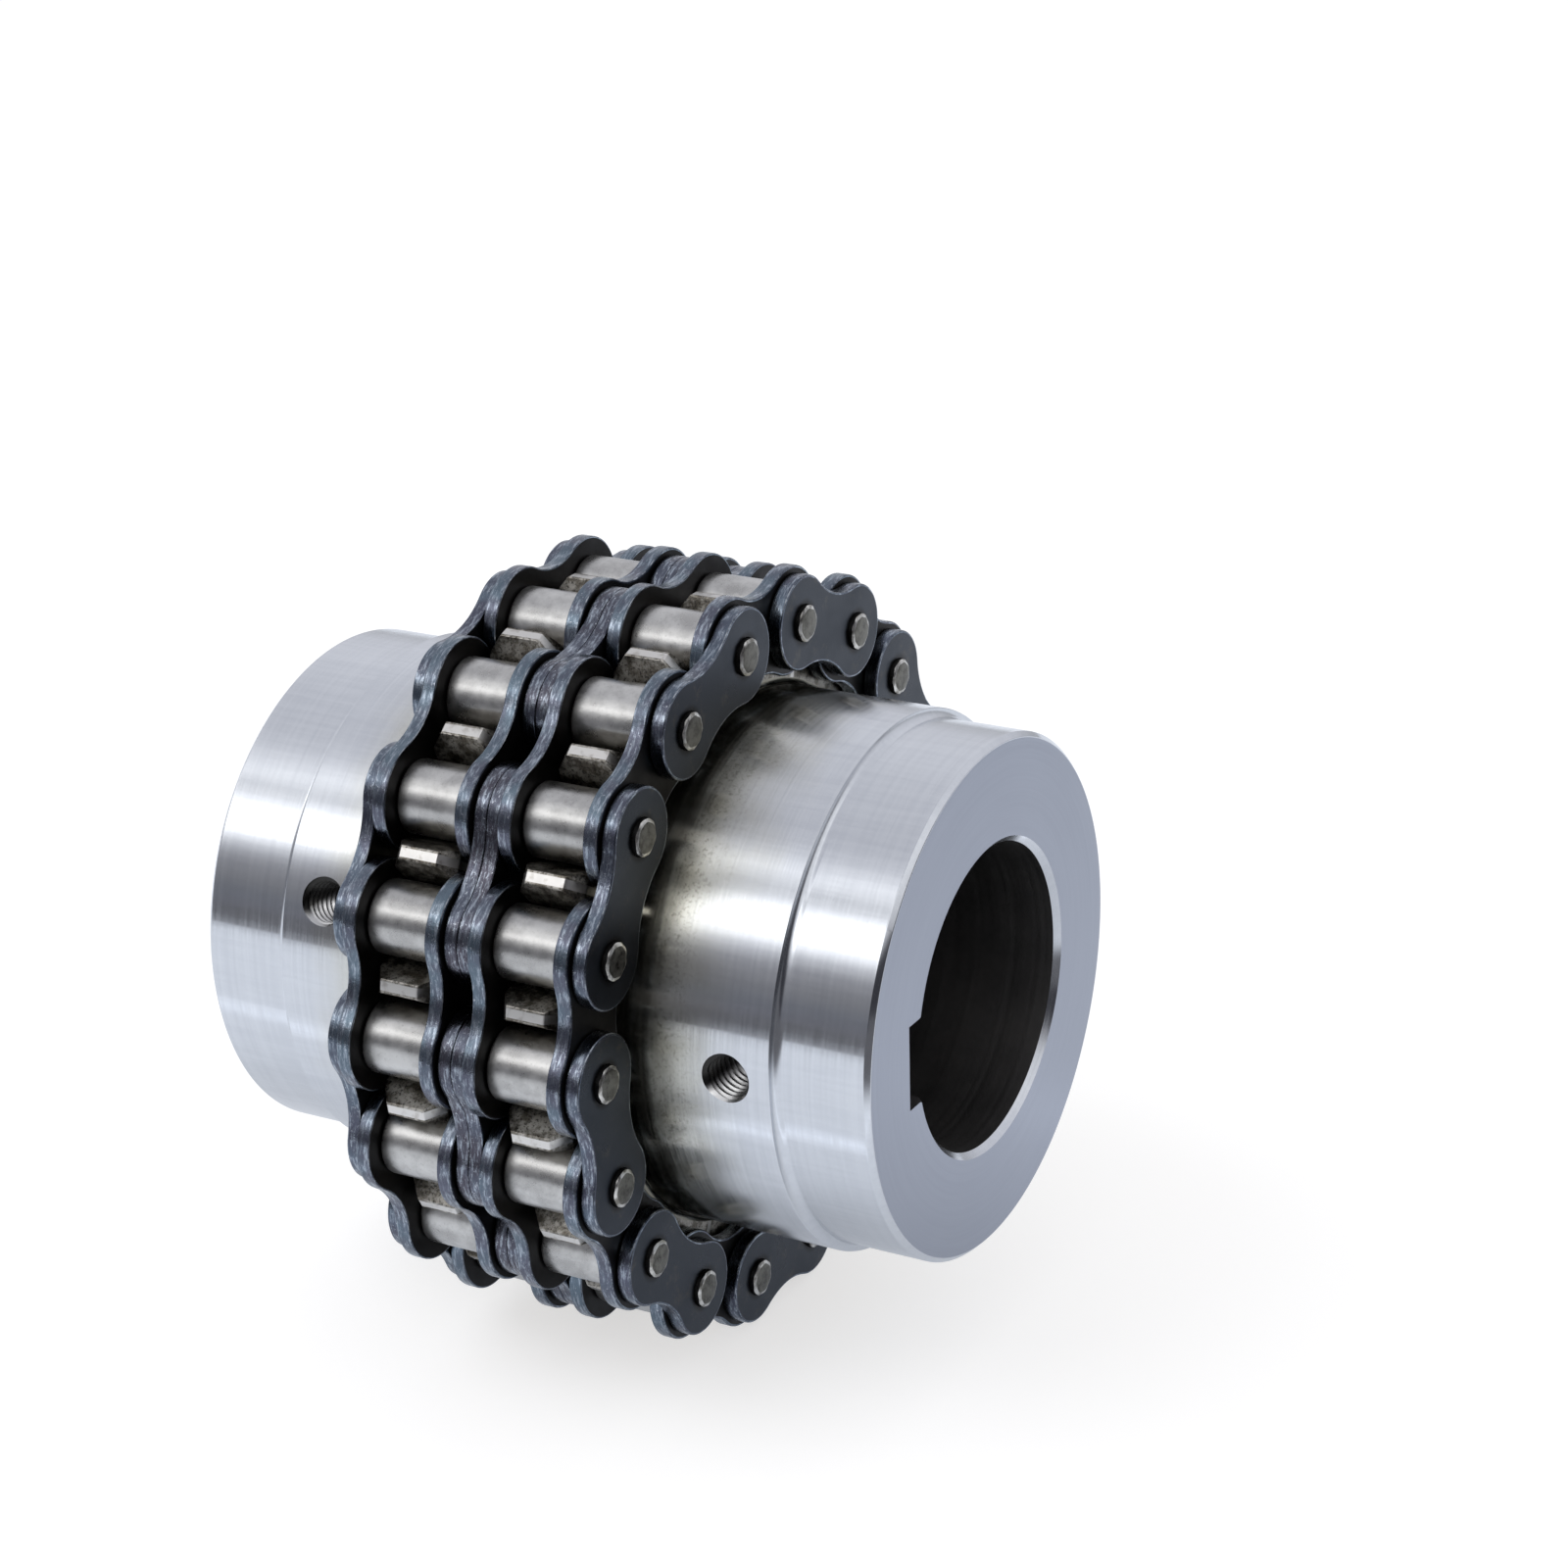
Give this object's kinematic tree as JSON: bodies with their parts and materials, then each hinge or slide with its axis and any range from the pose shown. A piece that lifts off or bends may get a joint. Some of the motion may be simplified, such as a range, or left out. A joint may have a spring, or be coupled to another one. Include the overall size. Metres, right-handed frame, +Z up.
{
  "type": "roller chain coupling",
  "caption": "Flexible shaft coupling: two bored and keyed sprocket hubs joined by a double-strand roller chain wrapped round both rows of teeth.",
  "frame": {"origin": "middle of the gap between the two hubs, on the shaft axis, which is the centre of the whole part", "axes": "+X along the shaft axis out of the right hub's end face, +Z up as the coupling lies on its chain, +Y level"},
  "size_m": [0.1214, 0.1276, 0.126],
  "materials": {
    "hub_steel": "turned bright steel",
    "plate_steel": "blued steel with worn bright edges",
    "roller_steel": "ground steel, satin",
    "pin_steel": "dark steel with a bright rim",
    "bush_steel": "plain steel",
    "clip_steel": "spring steel"
  },
  "bodies": {
    "chain": {"inner_plates_right_outboard": "plate_steel", "inner_plates_right_inboard": "plate_steel", "inner_plates_left_outboard": "plate_steel", "inner_plates_left_inboard": "plate_steel", "middle_plates_right": "plate_steel", "middle_plates_left": "plate_steel", "outer_plates_right": "plate_steel", "outer_plates_left": "plate_steel", "connecting_link_plate": "plate_steel", "connecting_cover_plate": "plate_steel", "bushes_right": "bush_steel", "bushes_left": "bush_steel", "riveted_pins": "pin_steel", "connecting_pins": "pin_steel", "spring_clip": "clip_steel"},
    "right_hub": {"right_hub": "hub_steel"},
    "left_hub": {"left_hub": "hub_steel"},
    "roller_right_01": {"roller_right_01": "roller_steel"},
    "roller_right_02": {"roller_right_02": "roller_steel"},
    "roller_right_03": {"roller_right_03": "roller_steel"},
    "roller_right_04": {"roller_right_04": "roller_steel"},
    "roller_right_05": {"roller_right_05": "roller_steel"},
    "roller_right_06": {"roller_right_06": "roller_steel"},
    "roller_right_07": {"roller_right_07": "roller_steel"},
    "roller_right_08": {"roller_right_08": "roller_steel"},
    "roller_right_09": {"roller_right_09": "roller_steel"},
    "roller_right_10": {"roller_right_10": "roller_steel"},
    "roller_right_11": {"roller_right_11": "roller_steel"},
    "roller_right_12": {"roller_right_12": "roller_steel"},
    "roller_right_13": {"roller_right_13": "roller_steel"},
    "roller_right_14": {"roller_right_14": "roller_steel"},
    "roller_right_15": {"roller_right_15": "roller_steel"},
    "roller_right_16": {"roller_right_16": "roller_steel"},
    "roller_right_17": {"roller_right_17": "roller_steel"},
    "roller_right_18": {"roller_right_18": "roller_steel"},
    "roller_left_01": {"roller_left_01": "roller_steel"},
    "roller_left_02": {"roller_left_02": "roller_steel"},
    "roller_left_03": {"roller_left_03": "roller_steel"},
    "roller_left_04": {"roller_left_04": "roller_steel"},
    "roller_left_05": {"roller_left_05": "roller_steel"},
    "roller_left_06": {"roller_left_06": "roller_steel"},
    "roller_left_07": {"roller_left_07": "roller_steel"},
    "roller_left_08": {"roller_left_08": "roller_steel"},
    "roller_left_09": {"roller_left_09": "roller_steel"},
    "roller_left_10": {"roller_left_10": "roller_steel"},
    "roller_left_11": {"roller_left_11": "roller_steel"},
    "roller_left_12": {"roller_left_12": "roller_steel"},
    "roller_left_13": {"roller_left_13": "roller_steel"},
    "roller_left_14": {"roller_left_14": "roller_steel"},
    "roller_left_15": {"roller_left_15": "roller_steel"},
    "roller_left_16": {"roller_left_16": "roller_steel"},
    "roller_left_17": {"roller_left_17": "roller_steel"},
    "roller_left_18": {"roller_left_18": "roller_steel"}
  },
  "joints": [
    {"name": "right_hub_play", "type": "hinge", "parent": "chain", "child": "right_hub", "pos_m": [0.03324, 0, 0], "axis": [1, 0, 0], "range_deg": [-0.3, 0.3]},
    {"name": "left_hub_play", "type": "hinge", "parent": "chain", "child": "left_hub", "pos_m": [-0.03324, 0, 0], "axis": [1, 0, 0], "range_deg": [-0.3, 0.3]},
    {"name": "right_roller_01_spin", "type": "hinge", "parent": "chain", "child": "roller_right_01", "pos_m": [0.01139, 0.04202, 0.03526], "axis": [1, 0, 0], "continuous": true},
    {"name": "right_roller_02_spin", "type": "hinge", "parent": "chain", "child": "roller_right_02", "pos_m": [0.01139, 0.02743, 0.0475], "axis": [1, 0, 0], "continuous": true},
    {"name": "right_roller_03_spin", "type": "hinge", "parent": "chain", "child": "roller_right_03", "pos_m": [0.01139, 0.00953, 0.05402], "axis": [1, 0, 0], "continuous": true},
    {"name": "right_roller_04_spin", "type": "hinge", "parent": "chain", "child": "roller_right_04", "pos_m": [0.01139, -0.00953, 0.05402], "axis": [1, 0, 0], "continuous": true},
    {"name": "right_roller_05_spin", "type": "hinge", "parent": "chain", "child": "roller_right_05", "pos_m": [0.01139, -0.02743, 0.0475], "axis": [1, 0, 0], "continuous": true},
    {"name": "right_roller_06_spin", "type": "hinge", "parent": "chain", "child": "roller_right_06", "pos_m": [0.01139, -0.04202, 0.03526], "axis": [1, 0, 0], "continuous": true},
    {"name": "right_roller_07_spin", "type": "hinge", "parent": "chain", "child": "roller_right_07", "pos_m": [0.01139, -0.05154, 0.01876], "axis": [1, 0, 0], "continuous": true},
    {"name": "right_roller_08_spin", "type": "hinge", "parent": "chain", "child": "roller_right_08", "pos_m": [0.01139, -0.05485, 0], "axis": [1, 0, 0], "continuous": true},
    {"name": "right_roller_09_spin", "type": "hinge", "parent": "chain", "child": "roller_right_09", "pos_m": [0.01139, -0.05154, -0.01876], "axis": [1, 0, 0], "continuous": true},
    {"name": "right_roller_10_spin", "type": "hinge", "parent": "chain", "child": "roller_right_10", "pos_m": [0.01139, -0.04202, -0.03526], "axis": [1, 0, 0], "continuous": true},
    {"name": "right_roller_11_spin", "type": "hinge", "parent": "chain", "child": "roller_right_11", "pos_m": [0.01139, -0.02743, -0.0475], "axis": [1, 0, 0], "continuous": true},
    {"name": "right_roller_12_spin", "type": "hinge", "parent": "chain", "child": "roller_right_12", "pos_m": [0.01139, -0.00953, -0.05402], "axis": [1, 0, 0], "continuous": true},
    {"name": "right_roller_13_spin", "type": "hinge", "parent": "chain", "child": "roller_right_13", "pos_m": [0.01139, 0.00953, -0.05402], "axis": [1, 0, 0], "continuous": true},
    {"name": "right_roller_14_spin", "type": "hinge", "parent": "chain", "child": "roller_right_14", "pos_m": [0.01139, 0.02743, -0.0475], "axis": [1, 0, 0], "continuous": true},
    {"name": "right_roller_15_spin", "type": "hinge", "parent": "chain", "child": "roller_right_15", "pos_m": [0.01139, 0.04202, -0.03526], "axis": [1, 0, 0], "continuous": true},
    {"name": "right_roller_16_spin", "type": "hinge", "parent": "chain", "child": "roller_right_16", "pos_m": [0.01139, 0.05154, -0.01876], "axis": [1, 0, 0], "continuous": true},
    {"name": "right_roller_17_spin", "type": "hinge", "parent": "chain", "child": "roller_right_17", "pos_m": [0.01139, 0.05485, 0], "axis": [1, 0, 0], "continuous": true},
    {"name": "right_roller_18_spin", "type": "hinge", "parent": "chain", "child": "roller_right_18", "pos_m": [0.01139, 0.05154, 0.01876], "axis": [1, 0, 0], "continuous": true},
    {"name": "left_roller_01_spin", "type": "hinge", "parent": "chain", "child": "roller_left_01", "pos_m": [-0.01139, 0.04202, 0.03526], "axis": [1, 0, 0], "continuous": true},
    {"name": "left_roller_02_spin", "type": "hinge", "parent": "chain", "child": "roller_left_02", "pos_m": [-0.01139, 0.02743, 0.0475], "axis": [1, 0, 0], "continuous": true},
    {"name": "left_roller_03_spin", "type": "hinge", "parent": "chain", "child": "roller_left_03", "pos_m": [-0.01139, 0.00953, 0.05402], "axis": [1, 0, 0], "continuous": true},
    {"name": "left_roller_04_spin", "type": "hinge", "parent": "chain", "child": "roller_left_04", "pos_m": [-0.01139, -0.00953, 0.05402], "axis": [1, 0, 0], "continuous": true},
    {"name": "left_roller_05_spin", "type": "hinge", "parent": "chain", "child": "roller_left_05", "pos_m": [-0.01139, -0.02743, 0.0475], "axis": [1, 0, 0], "continuous": true},
    {"name": "left_roller_06_spin", "type": "hinge", "parent": "chain", "child": "roller_left_06", "pos_m": [-0.01139, -0.04202, 0.03526], "axis": [1, 0, 0], "continuous": true},
    {"name": "left_roller_07_spin", "type": "hinge", "parent": "chain", "child": "roller_left_07", "pos_m": [-0.01139, -0.05154, 0.01876], "axis": [1, 0, 0], "continuous": true},
    {"name": "left_roller_08_spin", "type": "hinge", "parent": "chain", "child": "roller_left_08", "pos_m": [-0.01139, -0.05485, 0], "axis": [1, 0, 0], "continuous": true},
    {"name": "left_roller_09_spin", "type": "hinge", "parent": "chain", "child": "roller_left_09", "pos_m": [-0.01139, -0.05154, -0.01876], "axis": [1, 0, 0], "continuous": true},
    {"name": "left_roller_10_spin", "type": "hinge", "parent": "chain", "child": "roller_left_10", "pos_m": [-0.01139, -0.04202, -0.03526], "axis": [1, 0, 0], "continuous": true},
    {"name": "left_roller_11_spin", "type": "hinge", "parent": "chain", "child": "roller_left_11", "pos_m": [-0.01139, -0.02743, -0.0475], "axis": [1, 0, 0], "continuous": true},
    {"name": "left_roller_12_spin", "type": "hinge", "parent": "chain", "child": "roller_left_12", "pos_m": [-0.01139, -0.00953, -0.05402], "axis": [1, 0, 0], "continuous": true},
    {"name": "left_roller_13_spin", "type": "hinge", "parent": "chain", "child": "roller_left_13", "pos_m": [-0.01139, 0.00953, -0.05402], "axis": [1, 0, 0], "continuous": true},
    {"name": "left_roller_14_spin", "type": "hinge", "parent": "chain", "child": "roller_left_14", "pos_m": [-0.01139, 0.02743, -0.0475], "axis": [1, 0, 0], "continuous": true},
    {"name": "left_roller_15_spin", "type": "hinge", "parent": "chain", "child": "roller_left_15", "pos_m": [-0.01139, 0.04202, -0.03526], "axis": [1, 0, 0], "continuous": true},
    {"name": "left_roller_16_spin", "type": "hinge", "parent": "chain", "child": "roller_left_16", "pos_m": [-0.01139, 0.05154, -0.01876], "axis": [1, 0, 0], "continuous": true},
    {"name": "left_roller_17_spin", "type": "hinge", "parent": "chain", "child": "roller_left_17", "pos_m": [-0.01139, 0.05485, 0], "axis": [1, 0, 0], "continuous": true},
    {"name": "left_roller_18_spin", "type": "hinge", "parent": "chain", "child": "roller_left_18", "pos_m": [-0.01139, 0.05154, 0.01876], "axis": [1, 0, 0], "continuous": true}
  ]
}
